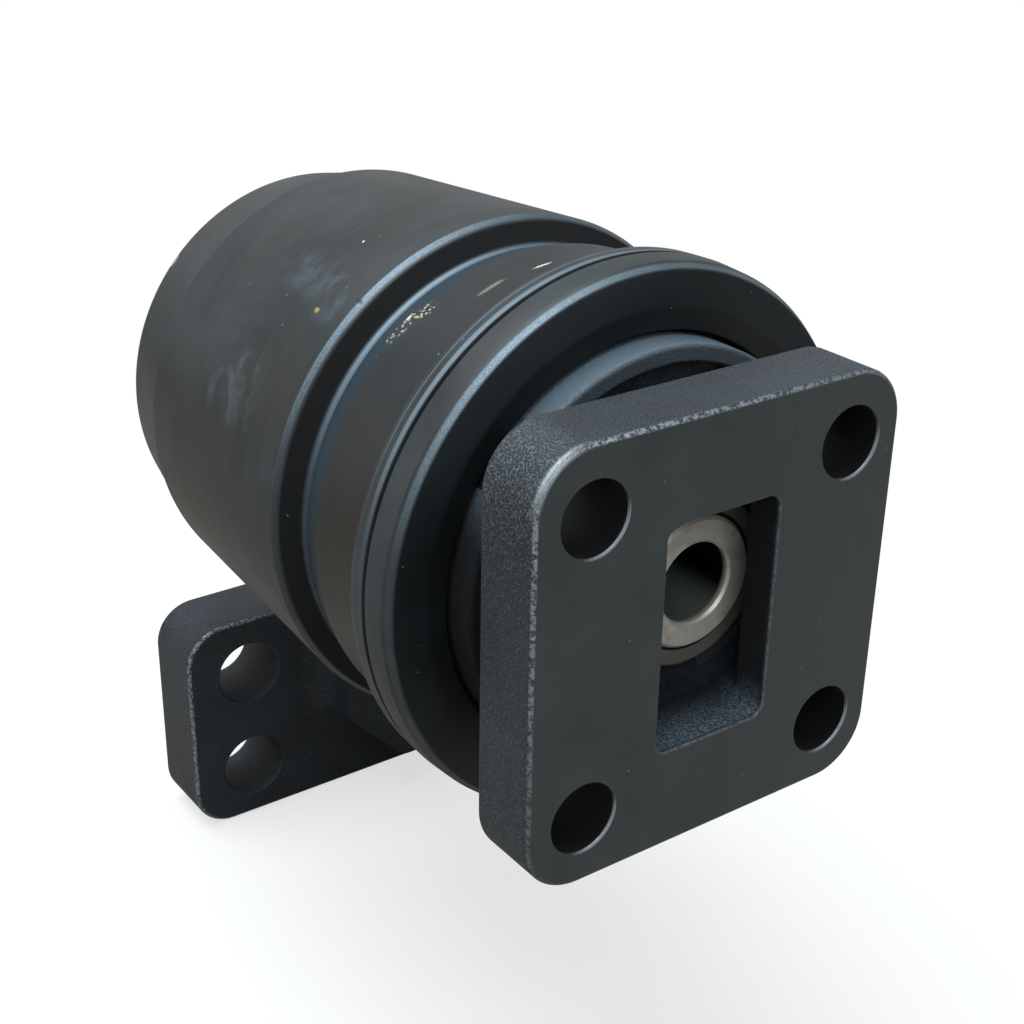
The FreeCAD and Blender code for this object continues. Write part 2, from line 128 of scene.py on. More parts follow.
# Front plate: half sizes, corner radius and bolt holes about its own centre, which is the frame's origin
PLATE_HALF = (64.0, 66.0)
PLATE_CORNER = 18.0
PLATE_HOLE_OFF = 45.0
PLATE_HOLE_R = 11.0
WINDOW_HALF = (20.0, 35.0)
WINDOW_CENTRE = (0.0, 0.6)
WINDOW_CORNER = 4.0
CUP_OUTER_R = 61.0

# Boss that holds the shaft behind the window: its face, its radius and the radius of its hole
BOSS_Y = 25.3
BOSS_R = 26.9
SHAFT_SEAT_R = 20.7

# Oil bore in the end of the shaft
SHAFT_BORE_R = 12.7

# Foot of the rear bracket
FOOT_CENTRE = (64.5, -171.5)
FOOT_HALF = (98.8, 48.5)
FOOT_CORNER = 17.0
FOOT_FRONT_Y = 279.0

# Stage in metres: gap under the lowest point of the object, half side of the floor, and the photo's camera
# with its place and the directions to its right, above it and behind it
FLOOR_GAP = 0.0006
FLOOR_HALF = 4.0
CAMERA_PLACE = (-0.2852075, -0.2941639, 0.2246778)
CAMERA_RIGHT = (0.81261197, -0.58256955, 0.01656815)
CAMERA_UP = (0.23545185, 0.35416564, 0.90505753)
CAMERA_BACK = (-0.53312682, -0.73155958, 0.42496631)


def linear(code):
    """A colour written as sRGB hex, as the linear values that shaders take."""
    out = []
    for i in (1, 3, 5):
        level = int(code[i:i + 2], 16) / 255.0
        out.append(level / 12.92 if level <= 0.04045 else ((level + 0.055) / 1.055) ** 2.4)
    return (*out, 1.0)


def add(tree, kind, feeds=(), **settings):
    """Adds one node with its settings. feeds gives its inputs numbers, colours, sockets or other nodes."""
    made = tree.nodes.new(kind)
    for name, value in settings.items():
        setattr(made, name, value)
    pairs = feeds.items() if isinstance(feeds, dict) else enumerate(feeds)
    for place, value in pairs:
        if isinstance(value, bpy.types.Node):
            value = next(o for o in value.outputs if o.enabled)
        if isinstance(value, bpy.types.NodeSocket):
            tree.links.new(value, made.inputs[place])
        elif value is not None:
            made.inputs[place].default_value = value
    return made


def new_finish(name):
    """An empty material with its output, and its node tree."""
    finish = bpy.data.materials.new(name)
    finish.use_nodes = True
    finish.node_tree.nodes.clear()
    return finish, finish.node_tree


def dress(finish, nodes):
    """Puts a material in the slots of the frame's nodes."""
    for name in nodes:
        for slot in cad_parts[name].material_slots:
            slot.material = finish


def surface(tree, feeds, relief, depth):
    """The shader at the end of a material, with its relief as a bump of that depth in millimetres."""
    bump = add(tree, "ShaderNodeBump", {"Height": relief, "Strength": 1.0, "Distance": depth / 1000.0})
    shader = add(tree, "ShaderNodeBsdfPrincipled", dict(feeds, Normal=bump))
    add(tree, "ShaderNodeOutputMaterial", {"Surface": shader})


def places(tree, centre=(0.0, 0.0, 0.0)):
    """Where the shaded point lies, in millimetres from a centre in the frame: the vector and its parts."""
    object_space = add(tree, "ShaderNodeTexCoord").outputs["Object"]
    from_point = [c / 1000.0 for c in centre]
    moved = add(tree, "ShaderNodeVectorMath", [object_space, from_point], operation="SUBTRACT")
    point = add(tree, "ShaderNodeVectorMath", {0: moved, "Scale": 1000.0}, operation="SCALE")
    axes = add(tree, "ShaderNodeSeparateXYZ", [point])
    return {"point": point.outputs[0], "x": axes.outputs[0], "y": axes.outputs[1], "z": axes.outputs[2]}


def turned_places(tree):
    """Where the shaded point of a turned piece lies from the shaft axis, with its distance out from it."""
    at = places(tree, (AXIS_X, 0.0, 0.0))
    across = add(tree, "ShaderNodeCombineXYZ", [at["x"], 0.0, at["z"]])
    at["out"] = add(tree, "ShaderNodeVectorMath", [across], operation="LENGTH").outputs["Value"]
    return at


def cloud(tree, point, size, detail=2.0, warp=0.0, rough=0.5):
    """Soft irregular variation from 0 to 1, whose lumps are about size millimetres across."""
    feeds = {"Vector": point, "Scale": 1.0 / size, "Detail": detail, "Distortion": warp, "Roughness": rough}
    return add(tree, "ShaderNodeTexNoise", feeds).outputs["Fac"]


def ease(tree, value, low, high, out_low=0.0, out_high=1.0):
    """value from low to high, eased to out_low to out_high and kept inside them."""
    feeds = [value, low, high, out_low, out_high]
    return add(tree, "ShaderNodeMapRange", feeds, interpolation_type="SMOOTHSTEP")


def both(tree, first, second):
    """Two masks or strengths multiplied."""
    return add(tree, "ShaderNodeMath", [first, second], operation="MULTIPLY")


def stretch(tree, value, start, full, fade, end):
    """Mask that rises from start to full and falls from fade to end."""
    return both(tree, ease(tree, value, start, full), ease(tree, value, end, fade))


def either(tree, masks):
    """The strongest of several masks."""
    out = masks[0]
    for mask in masks[1:]:
        out = add(tree, "ShaderNodeMath", [out, mask], operation="MAXIMUM")
    return out


def tint(tree, mask, under, over):
    """The colour under, with the colour over where the mask is 1."""
    return add(tree, "ShaderNodeMix", {0: mask, 6: under, 7: over}, data_type="RGBA")


def lathe_marks(tree, at, pitch, wander):
    """Rings that a turning tool leaves along a cylinder and across an end face, a pitch apart."""
    way = add(tree, "ShaderNodeMath", [at["y"], at["out"]], operation="ADD")
    drift = both(tree, cloud(tree, at["point"], 30.0), wander)
    line = add(tree, "ShaderNodeMath", [way, drift], operation="ADD")
    feeds = {"W": line, "Scale": 1.0 / pitch, "Detail": 2.0}
    return add(tree, "ShaderNodeTexNoise", feeds, noise_dimensions="1D").outputs["Fac"]


def ring(tree, value, station, half):
    """Mask of the ring within half a width, in millimetres, of a station."""
    off = add(tree, "ShaderNodeMath", [value, station], operation="SUBTRACT")
    gap = add(tree, "ShaderNodeMath", [off], operation="ABSOLUTE")
    return ease(tree, gap, half, half * 0.4)


def patch(tree, at, mark, grain):
    """Mask of one ragged mark on the shell, whose edge the grain tears."""
    along, degrees, half_along, half_round, ragged = mark
    reach = add(tree, "ShaderNodeMath", [at["along"], along], operation="SUBTRACT")
    reach = add(tree, "ShaderNodeMath", [reach, half_along], operation="DIVIDE")
    middle = math.radians(degrees) * SHELL_NOMINAL_R
    turn = add(tree, "ShaderNodeMath", [at["round"], middle], operation="SUBTRACT")
    turn = add(tree, "ShaderNodeMath", [turn, half_round], operation="DIVIDE")
    flat = add(tree, "ShaderNodeCombineXYZ", [reach, turn, 0.0])
    far = add(tree, "ShaderNodeVectorMath", [flat], operation="LENGTH").outputs["Value"]
    torn = add(tree, "ShaderNodeMath", [grain, -ragged, ragged * 0.5], operation="MULTIPLY_ADD")
    far = add(tree, "ShaderNodeMath", [far, torn], operation="ADD")
    return ease(tree, far, 1.0, 0.5)


def dust(tree, point, spacing, size, share):
    """Mask of small separate specks: about one per cell of spacing, kept for a share of the cells."""
    cells = add(tree, "ShaderNodeTexVoronoi", {"Vector": point, "Scale": 1.0 / spacing, "Randomness": 1.0})
    near = ease(tree, cells.outputs["Distance"], size / spacing, 0.6 * size / spacing)
    pick = add(tree, "ShaderNodeSeparateColor", [cells.outputs["Color"]])
    kept = add(tree, "ShaderNodeMath", [pick, share], operation="LESS_THAN")
    return both(tree, near, kept)


def rim_depth(tree, at, centre, half, corner):
    """How far inside a rounded rectangle a point lies, in millimetres: 0 on its outline."""
    folded = []
    for axis, middle, reach in (("x", centre[0], half[0]), ("z", centre[1], half[1])):
        off = add(tree, "ShaderNodeMath", [at[axis], middle], operation="SUBTRACT")
        off = add(tree, "ShaderNodeMath", [off], operation="ABSOLUTE")
        folded.append(add(tree, "ShaderNodeMath", [off, reach - corner], operation="SUBTRACT"))
    out = [add(tree, "ShaderNodeMath", [side, 0.0], operation="MAXIMUM") for side in folded]
    corner_part = add(tree, "ShaderNodeCombineXYZ", [out[0], out[1], 0.0])
    corner_part = add(tree, "ShaderNodeVectorMath", [corner_part], operation="LENGTH").outputs["Value"]
    side_part = add(tree, "ShaderNodeMath", [folded[0], folded[1]], operation="MAXIMUM")
    side_part = add(tree, "ShaderNodeMath", [side_part, 0.0], operation="MINIMUM")
    total = add(tree, "ShaderNodeMath", [corner_part, side_part], operation="ADD")
    return add(tree, "ShaderNodeMath", [corner, total], operation="SUBTRACT")


def rounded(corners, step=18.0):
    """Closed outline from corners (out, along, rounding), with an arc in steps of a few degrees at each."""
    out = []
    for i, (across, along, rounding) in enumerate(corners):
        corner = Vector((across, along))
        back = (Vector(corners[i - 1][:2]) - corner).normalized()
        ahead = (Vector(corners[(i + 1) % len(corners)][:2]) - corner).normalized()
        half = back.angle(ahead) / 2.0

        # A corner stays a point where it has no rounding or is nearly straight
        if rounding <= 0.0 or half > 1.56:
            out.append(corner)
            continue
        centre = corner + (back + ahead).normalized() * (rounding / math.sin(half))
        start = corner + back * (rounding / math.tan(half)) - centre
        turn = math.pi - 2.0 * half
        way = 1.0 if back.x * ahead.y - back.y * ahead.x < 0.0 else -1.0
        count = max(2, math.ceil(math.degrees(turn) / step))
        for k in range(count + 1):
            bend = way * turn * k / count
            out.append(centre + Vector((start.x * math.cos(bend) - start.y * math.sin(bend),
                                        start.x * math.sin(bend) + start.y * math.cos(bend))))
    return out


def turned_piece(name, section, front_y, segments, sharp=24.0):
    """A solid of revolution about the shaft axis, in metres, from its section in millimetres."""
    outline = rounded(section)
    verts, faces = [], []
    for i in range(segments):
        angle = 2.0 * math.pi * i / segments
        for out, along in outline:
            place = (AXIS_X + out * math.cos(angle), front_y + along, out * math.sin(angle))
            verts.append([v / 1000.0 for v in place])
    count = len(outline)
    for i in range(segments):
        here, there = i * count, (i + 1) % segments * count
        for k in range(count):
            after = (k + 1) % count
            faces.append((here + k, here + after, there + after, there + k))
    mesh = bpy.data.meshes.new(name)
    mesh.from_pydata(verts, [], faces)
    mesh.validate()
    mesh.shade_smooth()
    mesh.set_sharp_from_angle(angle=math.radians(sharp))
    piece = bpy.data.objects.new(name, mesh)
    bpy.context.collection.objects.link(piece)
    return piece


class RollerPaint(bpy.types.PropertyGroup):
    """Satin black-grey paint of the roller"""
    paint: bpy.props.FloatVectorProperty(
        name="Paint", description="Main colour of the roller's paint", subtype="COLOR", size=4,
        min=0.0, max=1.0, default=linear("#1D2223"))
    smudge: bpy.props.FloatVectorProperty(
        name="Smudges", description="Colour of handling smudges and rubbed paint", subtype="COLOR", size=4,
        min=0.0, max=1.0, default=linear("#4A555D"))
    band: bpy.props.FloatVectorProperty(
        name="Running band", description="Brownish cast low on the band by the flange", subtype="COLOR",
        size=4, min=0.0, max=1.0, default=linear("#211D18"))
    # Also the colour of the painted highlights on the shell's edges and lines
    bare_and_highlight: bpy.props.FloatVectorProperty(
        name="Worn edges", description="Colour where the edges are rubbed through", subtype="COLOR", size=4,
        min=0.0, max=1.0, default=linear("#93A9B8"))
    scuff: bpy.props.FloatVectorProperty(
        name="Scuffs", description="Cream paint left by something that touched the roller", subtype="COLOR",
        size=4, min=0.0, max=1.0, default=linear("#D8D7B4"))
    roughness: bpy.props.FloatProperty(
        name="Roughness", description="Sheen of the paint", subtype="FACTOR", min=0.0, max=1.0, default=0.46)
    segments: bpy.props.IntProperty(
        name="Segments", description="Faces round the roller shell", min=32, max=512, default=288)
    cut_pitch: bpy.props.FloatProperty(
        name="Turning marks", description="Spacing of the turning marks under the paint", unit="LENGTH",
        min=0.0001, max=0.01, default=0.0009)


class CastingPaint(bpy.types.PropertyGroup):
    """Satin black-grey paint on the two cast brackets"""
    paint: bpy.props.FloatVectorProperty(
        name="Paint", description="Colour of the paint on the castings", subtype="COLOR", size=4,
        min=0.0, max=1.0, default=linear("#1C2024"))
    face: bpy.props.FloatVectorProperty(
        name="Machined faces", description="Colour of the paint on the seat faces", subtype="COLOR", size=4,
        min=0.0, max=1.0, default=linear("#3A4144"))
    # Also the colour of the painted highlights on the plate's corner, window sill and hole lips
    bare_and_highlight: bpy.props.FloatVectorProperty(
        name="Worn rims", description="Colour where the rims are rubbed through", subtype="COLOR", size=4,
        min=0.0, max=1.0, default=linear("#B2BDC4"))
    # The collar's colour is partly painted light: the finish shows it only at the collar's upper left
    collar: bpy.props.FloatVectorProperty(
        name="Collar", description="Thin grey-blue paint on the collar", subtype="COLOR", size=4,
        min=0.0, max=1.0, default=linear("#56656F"))
    grain: bpy.props.FloatProperty(
        name="Sand grain", description="Size of the lumps that the sand mould leaves", unit="LENGTH",
        min=0.0002, max=0.01, default=0.0006)
    relief: bpy.props.FloatProperty(
        name="Relief", description="Height of the cast lumps", unit="LENGTH",
        min=0.0, max=0.002, default=0.00034)
    roughness: bpy.props.FloatProperty(
        name="Roughness", description="Sheen of the paint", subtype="FACTOR", min=0.0, max=1.0, default=0.5)


class BareMetals(bpy.types.PropertyGroup):
    """Unpainted metals inside the roller"""
    steel: bpy.props.FloatVectorProperty(
        name="Turned steel", description="Colour of the shaft and the thrust rings", subtype="COLOR", size=4,
        min=0.0, max=1.0, default=linear("#DAD9CF"))
    bronze: bpy.props.FloatVectorProperty(
        name="Bearing bronze", description="Colour of the bushes", subtype="COLOR", size=4,
        min=0.0, max=1.0, default=linear("#B98A4E"))
    iron: bpy.props.FloatVectorProperty(
        name="Seal iron", description="Colour of the hard iron seal rings", subtype="COLOR", size=4,
        min=0.0, max=1.0, default=linear("#8B8C8E"))
    blacked: bpy.props.FloatVectorProperty(
        name="Blacked steel", description="Colour of the oil plug", subtype="COLOR", size=4,
        min=0.0, max=1.0, default=linear("#33343A"))
    washer: bpy.props.FloatVectorProperty(
        name="Soft washer", description="Colour of the plug's sealing washer", subtype="COLOR", size=4,
        min=0.0, max=1.0, default=linear("#C2C3C6"))


class StageSettings(bpy.types.PropertyGroup):
    """Floor, lamps and camera"""
    floor: bpy.props.FloatVectorProperty(
        name="Floor", description="Colour of the floor", subtype="COLOR", size=4,
        min=0.0, max=1.0, default=linear("#FAFAF9"))
    bounce: bpy.props.FloatVectorProperty(
        name="Floor bounce", description="Colour that the floor throws back on the underside of the roller",
        subtype="COLOR", size=4, min=0.0, max=1.0, default=linear("#A09A92"))
    lift: bpy.props.FloatProperty(
        name="Floor lift", description="How far the floor near the roller is lifted to plain white",
        subtype="FACTOR", min=0.0, max=1.0, default=0.65)
    overhead: bpy.props.FloatProperty(
        name="Overhead lamp", description="Power of the large lamp above the roller", unit="POWER",
        min=0.0, max=500.0, default=30.0)
    front: bpy.props.FloatProperty(
        name="Front lamp", description="Power of the soft lamp above the camera", unit="POWER",
        min=0.0, max=500.0, default=8.0)
    side: bpy.props.FloatProperty(
        name="Side lamp", description="Power of the warm lamp behind on the left", unit="POWER",
        min=0.0, max=500.0, default=3.0)
    sky: bpy.props.FloatProperty(
        name="Room light", description="Strength of the even light from all round",
        min=0.0, max=2.0, default=0.22)
    lens: bpy.props.FloatProperty(
        name="Lens", description="Focal length of the camera on a 36 mm sensor", subtype="DISTANCE_CAMERA",
        min=10.0, max=200.0, default=59.23)


def white_paper(settings):
    """Matt white paper of the floor: a soft shadow under the roller, fading to plain white further off."""
    finish, tree = new_finish("matt white paper")

    # Distances on the paper are taken from under the middle of the roller
    at = places(tree, (0.0, 150.0, 0.0))
    fibre = cloud(tree, at["point"], 3.0, 3.0)
    shade = tint(tree, both(tree, fibre, 0.03), settings.floor, linear("#EDEDEB"))
    off = add(tree, "ShaderNodeVectorMath", [at["point"]], operation="LENGTH").outputs["Value"]
    seen = add(tree, "ShaderNodeLightPath").outputs["Is Camera Ray"]
    white = both(tree, ease(tree, off, 330.0, 800.0, settings.lift, 1.0), seen)
    shade = tint(tree, seen, settings.bounce, shade)
    paper = add(tree, "ShaderNodeBsdfDiffuse", [shade])
    glow = add(tree, "ShaderNodeEmission", [linear("#FFFFFF"), 1.0])
    mixed = add(tree, "ShaderNodeMixShader", [white, paper, glow])
    add(tree, "ShaderNodeOutputMaterial", {"Surface": mixed})
    return finish


def square_lamp(name, place, aim, size, power, colour):
    """One soft lamp at a place, turned to the point it lights."""
    lamp = bpy.data.lights.new(name, "AREA")
    lamp.shape = "SQUARE"
    lamp.size = size
    lamp.energy = power
    lamp.color = colour
    holder = bpy.data.objects.new(name, lamp)
    bpy.context.collection.objects.link(holder)
    holder.location = place
    holder.rotation_euler = (Vector(aim) - Vector(place)).to_track_quat("-Z", "Y").to_euler()


def white_room(settings):
    """Even light from all round, plain white to the camera and stronger in reflections."""
    world = bpy.data.worlds.new("white room")
    world.use_nodes = True
    tree = world.node_tree
    tree.nodes.clear()
    path = add(tree, "ShaderNodeLightPath")
    shone = ease(tree, path.outputs["Is Glossy Ray"], 0.0, 1.0, settings.sky, 0.6)
    seen = path.outputs["Is Camera Ray"]
    strength = add(tree, "ShaderNodeMix", {0: seen, 2: shone, 3: 1.0}, data_type="FLOAT")
    light = add(tree, "ShaderNodeBackground", [linear("#FFFFFF"), strength])
    add(tree, "ShaderNodeOutputWorld", [light])
    return world


class ROLLER_OT_stage(bpy.types.Operator):
    """Makes the floor, the lamps, the room light and the camera"""
    bl_idname = "roller.stage"
    bl_label = "Stage"

    def execute(self, context):
        settings = context.scene.roller_stage
        mesh = bpy.data.meshes.new("floor")
        corners = [(x * FLOOR_HALF, y * FLOOR_HALF, CAD_BOX[0].z - FLOOR_GAP)
                   for x, y in ((-1, -1), (1, -1), (1, 1), (-1, 1))]
        mesh.from_pydata(corners, [], [(0, 1, 2, 3)])
        floor = bpy.data.objects.new("floor", mesh)
        context.collection.objects.link(floor)
        mesh.materials.append(white_paper(settings))

        # Each lamp has a place, the point it lights, its side, its power and its colour
        square_lamp("overhead_lamp", (-0.25, 0.28, 1.25), (0.0, 0.12, -0.05), 1.2, settings.overhead,
                    (0.86, 0.94, 1.0))
        square_lamp("front_lamp", (-0.55, -1.0, 0.95), (0.0, 0.1, -0.05), 0.9, settings.front,
                    (0.95, 0.98, 1.0))
        square_lamp("side_lamp", (-1.15, 0.75, 0.35), (0.0, 0.15, -0.05), 0.8, settings.side,
                    (1.0, 0.93, 0.84))
        context.scene.world = white_room(settings)

        data = bpy.data.cameras.new("camera")
        data.sensor_width = 36.0
        data.lens = settings.lens
        data.clip_start = 0.01
        data.clip_end = 50.0
        camera = bpy.data.objects.new("camera", data)
        context.collection.objects.link(camera)
        turn = Matrix((CAMERA_RIGHT, CAMERA_UP, CAMERA_BACK)).transposed().to_4x4()
        camera.matrix_world = Matrix.Translation(CAMERA_PLACE) @ turn
        context.scene.camera = camera
        context.scene.view_settings.view_transform = "Standard"
        return {"FINISHED"}


def roller_coat(tree, at, settings, streak, mottle):
    """The roller's paint colour with its smudges and painted shade, and the mask of the painted shade, which
    is matt.
    """
    on_band = stretch(tree, at["along"], *BAND)
    tread = ease(tree, at["along"], *TREAD)
    lumps = cloud(tree, at["point"], 34.0, 4.0, 0.6)
    colour = tint(tree, ease(tree, lumps, 0.35, 0.7, 0.0, 0.22), settings.paint, settings.smudge)

    # The running band is darker, and brown low on the left. The tread has olive clouds and rubbed streaks
    colour = tint(tree, both(tree, on_band, 0.7), colour, linear("#15191C"))
    low_band = both(tree, on_band, ease(tree, at["round"], -62.0, -122.0, 0.1, 0.75))
    colour = tint(tree, low_band, colour, settings.band)
    olive = ease(tree, cloud(tree, at["point"], 52.0, 3.0, 0.3), 0.42, 0.6, 0.0, 0.4)
    colour = tint(tree, both(tree, olive, tread), colour, linear("#26251F"))
    rubbed = both(tree, ease(tree, streak, 0.45, 0.85, 0.0, 0.16), tread)
    colour = tint(tree, rubbed, colour, settings.smudge)

    # A bluish tint on the slope into the groove, and painted shade, near black, on its wall, in the cut and
    # on the face
    slope = stretch(tree, at["along"], *SLOPE)
    colour = tint(tree, both(tree, slope, 0.7), colour, linear("#2B3943"))
    wall = stretch(tree, at["along"], *WALL)
    face = both(tree, ease(tree, at["along"], 0.5, 0.1), ease(tree, at["out"], 85.8, 85.2))
    cut = ring(tree, at["along"], CUT, 0.9)
    painted_shade = either(tree, [both(tree, wall, 0.97), both(tree, face, 0.7), both(tree, cut, 0.9)])
    colour = tint(tree, painted_shade, colour, linear("#06090B"))

    # Cloudy smudges from handling
    cloudy = ease(tree, cloud(tree, at["point"], 11.0, 5.0, 0.5, 0.62), 0.4, 0.66)
    smudges = either(tree, [patch(tree, at, mark, mottle) for mark in SMUDGES])
    colour = tint(tree, both(tree, both(tree, smudges, cloudy), 0.5), colour, settings.smudge)
    return colour, either(tree, [wall, cut])


def lines_round(tree, at, lines):
    """Mask of lines round the shell, each with its place along the shell, half width and strength."""
    return either(tree, [both(tree, ring(tree, at["along"], place, half), strength)
                         for place, half, strength in lines])


def rubbed_edges_and_highlights(tree, at, grit):
    """Mask of the shell's rubbed edges and painted highlights, most where they look up to the left."""
    upward = both(tree, ease(tree, at["round"], -116.0, -64.0, 0.1, 1.0),
                  ease(tree, at["round"], 20.0, -46.0, 0.35, 1.0))

    # Three edges are rubbed in fine specks, painted brighter as highlight where they look up to the left
    edges = lines_round(tree, at, ((FACE_EDGE, 1.4, 0.6), (TREAD_EDGE, 1.4, 0.55), (REAR_EDGE, 1.2, 0.2)))
    specks = ease(tree, cloud(tree, at["point"], 0.3, 3.0), 0.34, 0.66, 0.35, 1.0)
    outside = ease(tree, at["out"], 74.0, 76.0)
    speckled = both(tree, both(tree, edges, outside), both(tree, specks, upward))

    # Painted highlights lie evenly on the fillet at the groove's foot, the lip behind the cut and two tool
    # lines
    lines = lines_round(tree, at, ((FILLET, 1.6, 0.42), (CUT_LIP, 1.4, 0.4),
                                   (TOOL_LINES[0], 0.5, 0.2), (TOOL_LINES[1], 0.6, 0.25)))
    rear_chip = both(tree, patch(tree, at, REAR_CHIP, grit), 0.8)
    return either(tree, [speckled, both(tree, lines, upward), rear_chip])


def cream_scuffs(tree, at, mottle):
    """Mask of the cream paint that something left on the running band: flakes, a blob, a rub and a dab."""
    crumbs = add(tree, "ShaderNodeTexVoronoi", {"Vector": at["point"], "Scale": 1.0 / 1.5})
    crumbs = ease(tree, crumbs.outputs["Distance"], 0.42, 0.3)
    fine = cloud(tree, at["point"], 0.5, 3.0, 0.3)
    return either(tree, [both(tree, patch(tree, at, FLAKES, mottle), both(tree, crumbs, 0.5)),
                         both(tree, patch(tree, at, BLOB, fine), 0.8),
                         both(tree, patch(tree, at, FLAKES_ABOVE, fine), both(tree, crumbs, 0.55)),
                         both(tree, patch(tree, at, FAINT_RUB, fine), 0.18),
                         both(tree, patch(tree, at, CREAM_DAB, fine), 0.75)])


def painted_forging(settings):
    """Turned forging under thin satin black paint, with scuffs, rubbed edges, painted highlights and painted
    shade.
    """
    # Tool rings show through as faint lines, edges are rubbed to a cool bright grey with painted highlights
    # on them, the groove's wall, the cut and the flange face carry painted shade, and the wide tread has
    # cloudy smudges from handling
    finish, tree = new_finish("painted turned forging")
    at = turned_places(tree)
    angle = add(tree, "ShaderNodeMath", [at["x"], at["z"]], operation="ARCTAN2")
    at["round"] = both(tree, angle, SHELL_NOMINAL_R)
    at["along"] = add(tree, "ShaderNodeMath", [at["y"], FRONT_Y], operation="SUBTRACT")
    mottle = cloud(tree, at["point"], 6.0, 4.0, 0.3, 0.6)
    grit = cloud(tree, at["point"], 0.8, 2.0)

    # Streaks drawn round the roller, longer than they are wide
    long_point = add(tree, "ShaderNodeCombineXYZ", [at["y"], both(tree, at["round"], 0.12), at["out"]])
    streak = cloud(tree, long_point, 3.2, 4.0, 0.4, 0.6)

    colour, matt = roller_coat(tree, at, settings, streak, mottle)
    worn_and_highlight = rubbed_edges_and_highlights(tree, at, grit)
    chip = patch(tree, at, EDGE_CHIP, grit)
    scuffs = cream_scuffs(tree, at, mottle)
    ochre = patch(tree, at, OCHRE_FLECK, grit)
    white = patch(tree, at, WHITE_FLECK, grit)
    specks = dust(tree, at["point"], 6.5, 0.36, 0.42)
    # Rubbed edges and painted highlights in one cool pale grey
    colour = tint(tree, worn_and_highlight, colour, settings.bare_and_highlight)
    colour = tint(tree, both(tree, chip, 0.7), colour, linear("#15181B"))
    colour = tint(tree, scuffs, colour, settings.scuff)
    colour = tint(tree, both(tree, ochre, 0.75), colour, linear("#A68A4A"))
    colour = tint(tree, white, colour, linear("#E8E9E6"))
    colour = tint(tree, both(tree, specks, 0.8), colour, linear("#7B8388"))

    # The sheen follows the streaks, and scuffs, rubbed edges with their highlights, and the painted shade on
    # the wall and in the cut change it
    base = settings.roughness - 0.07
    sheen = add(tree, "ShaderNodeMath", [streak, 0.14, base], operation="MULTIPLY_ADD")
    for mask, change in ((scuffs, 0.25), (worn_and_highlight, -0.1), (matt, 0.42)):
        sheen = add(tree, "ShaderNodeMath", [mask, change, sheen], operation="MULTIPLY_ADD")
    marks = lathe_marks(tree, at, settings.cut_pitch * 1000.0, 1.2)
    relief = add(tree, "ShaderNodeMath", [marks, 0.5, both(tree, grit, 0.35)], operation="MULTIPLY_ADD")
    relief = add(tree, "ShaderNodeMath", [chip, -3.0, relief], operation="MULTIPLY_ADD")
    surface(tree, {"Base Color": colour, "Roughness": sheen, "Metallic": both(tree, worn_and_highlight, 0.5),
                   "Specular IOR Level": 0.32}, relief, 0.03)
    return finish


class ROLLER_OT_paint_shell(bpy.types.Operator):
    """Makes the turned roller shell and paints it, with its smudges, scuffs, rubbed edges, painted highlights
    and painted shade
    """
    bl_idname = "roller.paint_shell"
    bl_label = "Roller shell"

    def execute(self, context):
        settings = context.scene.roller_paint
        shell = turned_piece("shell", SHELL_SECTION, FRONT_Y, settings.segments)
        shell.data.materials.append(painted_forging(settings))
        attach(shell, "roller")
        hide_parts("roller_shell")
        return {"FINISHED"}


